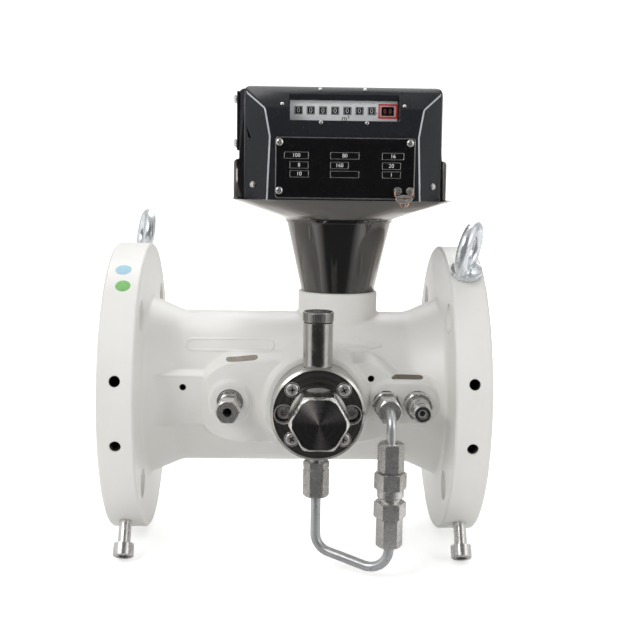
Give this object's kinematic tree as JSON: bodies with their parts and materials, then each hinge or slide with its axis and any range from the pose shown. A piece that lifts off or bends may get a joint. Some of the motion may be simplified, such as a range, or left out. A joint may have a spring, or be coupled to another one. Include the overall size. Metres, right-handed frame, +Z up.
{
  "type": "gas turbine flow meter",
  "caption": "Flanged turbine gas meter with a turnable mechanical index head, a hand oil pump with its bent lubrication line, lifting eyes and levelling feet.",
  "frame": {"origin": "centre of the inlet flange's sealing face, on the pipe axis", "axes": "+X along the flow, +Z up, -Y towards the viewer of the index"},
  "size_m": [0.24, 0.2122, 0.2984],
  "materials": {
    "housing_paint": "satin off-white paint",
    "head_paint": "gloss black paint",
    "alloy": "satin",
    "steel": "brushed",
    "zinc": "bright zinc plate",
    "nickel": "nickel plate",
    "brass": "satin",
    "black_plastic": "moulded",
    "window": "clear",
    "plate_grey": "satin grey",
    "seal_rubber": "matt",
    "magnet": "ground"
  },
  "bodies": {
    "meter": {"meter_housing": "housing_paint", "flow_straightener": "alloy", "nose_cone": "alloy", "measuring_cartridge": "alloy", "tail_cone": "alloy", "bearing_shells": "steel", "shaft_guide_tube": "steel", "gear_bridge": "brass", "separating_dome": "steel", "lifting_eyebolts": "zinc", "foot_screws": "steel", "pump_body": "nickel", "pump_cover": "nickel", "pump_cover_screws": "steel", "pump_mounting_screws": "steel", "reservoir_tube": "nickel", "pump_outlet_adaptor": "steel", "oil_line": "zinc", "oil_union_nuts": "zinc", "check_valve_inlet_body": "steel", "check_valve_outlet_body": "steel", "feed_line": "zinc", "feed_adaptor": "steel", "quick_coupling_body": "steel", "test_point_fitting": "steel"},
    "rotor": {"rotor_wheel": "alloy", "rotor_shaft": "steel", "drive_worm": "steel", "bearing_inner_rings": "steel"},
    "wheel_drive": {"worm_wheel": "brass", "wheel_shaft": "steel"},
    "coupling_drive": {"coupling_shaft": "steel", "transfer_gear": "brass", "lower_magnet": "magnet"},
    "index_head": {"index_base": "head_paint", "front_cover": "head_paint", "side_cover": "head_paint", "cover_screws": "steel", "window_glass": "window", "counter_plate": "plate_grey", "counter_frame": "alloy"},
    "index_drive": {"upper_magnet": "magnet", "index_worm_shaft": "steel"},
    "layshaft": {"index_layshaft": "steel"},
    "roller_1": {"digit_roller_1": "black_plastic"},
    "roller_2": {"digit_roller_2": "black_plastic"},
    "roller_3": {"digit_roller_3": "black_plastic"},
    "roller_4": {"digit_roller_4": "black_plastic"},
    "roller_5": {"digit_roller_5": "black_plastic"},
    "roller_6": {"digit_roller_6": "black_plastic"},
    "roller_7": {"digit_roller_7": "black_plastic"},
    "roller_8": {"digit_roller_8": "black_plastic"},
    "roller_9": {"digit_roller_9": "black_plastic"},
    "plunger": {"pump_plunger": "steel"},
    "cap_carrier": {"pump_cap_seal": "seal_rubber"},
    "pump_cap": {"pump_hex_cap": "nickel"},
    "reservoir_carrier": {"reservoir_seal": "seal_rubber"},
    "reservoir_lid": {"reservoir_cap": "nickel"},
    "valve_ball": {"check_valve_ball": "steel"},
    "poppet": {"quick_coupling_poppet": "steel"}
  },
  "joints": [
    {"name": "rotor_spin", "type": "hinge", "parent": "meter", "child": "rotor", "pos_m": [0.1, 0, 0], "axis": [1, 0, 0], "continuous": true},
    {"name": "wheel_spin", "type": "hinge", "parent": "meter", "child": "wheel_drive", "pos_m": [0.1486, 0.0112, 0], "axis": [0, 0, 1], "continuous": true},
    {"name": "coupling_spin", "type": "hinge", "parent": "meter", "child": "coupling_drive", "pos_m": [0.1486, 0, 0.054], "axis": [0, 0, 1], "continuous": true},
    {"name": "index_head_turn", "type": "hinge", "parent": "meter", "child": "index_head", "pos_m": [0.1486, 0, 0.0653], "axis": [0, 0, 1], "range_deg": [-175, 175]},
    {"name": "index_shaft_spin", "type": "hinge", "parent": "index_head", "child": "index_drive", "pos_m": [0.1486, 0, 0.1], "axis": [0, 0, 1], "continuous": true},
    {"name": "layshaft_spin", "type": "hinge", "parent": "index_head", "child": "layshaft", "pos_m": [0.1486, -0.0137, 0.17], "axis": [1, 0, 0], "continuous": true},
    {"name": "roller_1_spin", "type": "hinge", "parent": "index_head", "child": "roller_1", "pos_m": [0.1486, -0.0318, 0.1822], "axis": [1, 0, 0], "continuous": true},
    {"name": "roller_2_spin", "type": "hinge", "parent": "index_head", "child": "roller_2", "pos_m": [0.1486, -0.0318, 0.1822], "axis": [1, 0, 0], "continuous": true},
    {"name": "roller_3_spin", "type": "hinge", "parent": "index_head", "child": "roller_3", "pos_m": [0.1486, -0.0318, 0.1822], "axis": [1, 0, 0], "continuous": true},
    {"name": "roller_4_spin", "type": "hinge", "parent": "index_head", "child": "roller_4", "pos_m": [0.1486, -0.0318, 0.1822], "axis": [1, 0, 0], "continuous": true},
    {"name": "roller_5_spin", "type": "hinge", "parent": "index_head", "child": "roller_5", "pos_m": [0.1486, -0.0318, 0.1822], "axis": [1, 0, 0], "continuous": true},
    {"name": "roller_6_spin", "type": "hinge", "parent": "index_head", "child": "roller_6", "pos_m": [0.1486, -0.0318, 0.1822], "axis": [1, 0, 0], "continuous": true},
    {"name": "roller_7_spin", "type": "hinge", "parent": "index_head", "child": "roller_7", "pos_m": [0.1486, -0.0318, 0.1822], "axis": [1, 0, 0], "continuous": true},
    {"name": "roller_8_spin", "type": "hinge", "parent": "index_head", "child": "roller_8", "pos_m": [0.1486, -0.0318, 0.1822], "axis": [1, 0, 0], "continuous": true},
    {"name": "roller_9_spin", "type": "hinge", "parent": "index_head", "child": "roller_9", "pos_m": [0.1486, -0.0318, 0.1822], "axis": [1, 0, 0], "continuous": true},
    {"name": "plunger_press", "type": "slide", "parent": "meter", "child": "plunger", "axis": [0, 1, 0], "range_m": [0, 0.009], "stiffness_N_per_m": 300, "springref_m": -0.002},
    {"name": "pump_cap_rise", "type": "slide", "parent": "meter", "child": "cap_carrier", "axis": [0, -1, 0], "range_m": [0, 0.0106]},
    {"name": "pump_cap_turn", "type": "hinge", "parent": "cap_carrier", "child": "pump_cap", "pos_m": [0.1338, -0.1, 0], "axis": [0, -1, 0], "range_deg": [0, 2520]},
    {"name": "reservoir_cap_rise", "type": "slide", "parent": "meter", "child": "reservoir_carrier", "axis": [0, 0, 1], "range_m": [0, 0.0041]},
    {"name": "reservoir_cap_turn", "type": "hinge", "parent": "reservoir_carrier", "child": "reservoir_lid", "pos_m": [0.1336, -0.077, 0.057], "axis": [0, 0, 1], "range_deg": [0, 1440]},
    {"name": "valve_ball_lift", "type": "slide", "parent": "meter", "child": "valve_ball", "axis": [0, 0, 1], "range_m": [0, 0.004], "stiffness_N_per_m": 20, "springref_m": -0.004},
    {"name": "poppet_press", "type": "slide", "parent": "meter", "child": "poppet", "axis": [0, 1, 0], "range_m": [0, 0.003], "stiffness_N_per_m": 100, "springref_m": -0.003}
  ],
  "couplings": [
    {"joint": "wheel_spin", "follows": "rotor_spin", "ratio": -0.066667},
    {"joint": "coupling_spin", "follows": "rotor_spin", "ratio": 0.051852},
    {"joint": "index_shaft_spin", "follows": "rotor_spin", "ratio": 0.051852},
    {"joint": "layshaft_spin", "follows": "rotor_spin", "ratio": -0.0025926},
    {"joint": "roller_9_spin", "follows": "rotor_spin", "ratio": 0.004321},
    {"joint": "roller_8_spin", "follows": "rotor_spin", "ratio": 0.0004321},
    {"joint": "roller_7_spin", "follows": "rotor_spin", "ratio": 0.00004321},
    {"joint": "roller_6_spin", "follows": "rotor_spin", "ratio": 0.000004321},
    {"joint": "roller_5_spin", "follows": "rotor_spin", "ratio": 0.0000004321},
    {"joint": "roller_4_spin", "follows": "rotor_spin", "ratio": 0.00000004321},
    {"joint": "roller_3_spin", "follows": "rotor_spin", "ratio": 0.000000004321},
    {"joint": "roller_2_spin", "follows": "rotor_spin", "ratio": 0.0000000004321},
    {"joint": "roller_1_spin", "follows": "rotor_spin", "ratio": 0.00000000004321},
    {"joint": "pump_cap_rise", "follows": "pump_cap_turn", "m_per_rad": 0.00023873},
    {"joint": "reservoir_cap_rise", "follows": "reservoir_cap_turn", "m_per_rad": 0.00015915}
  ]
}
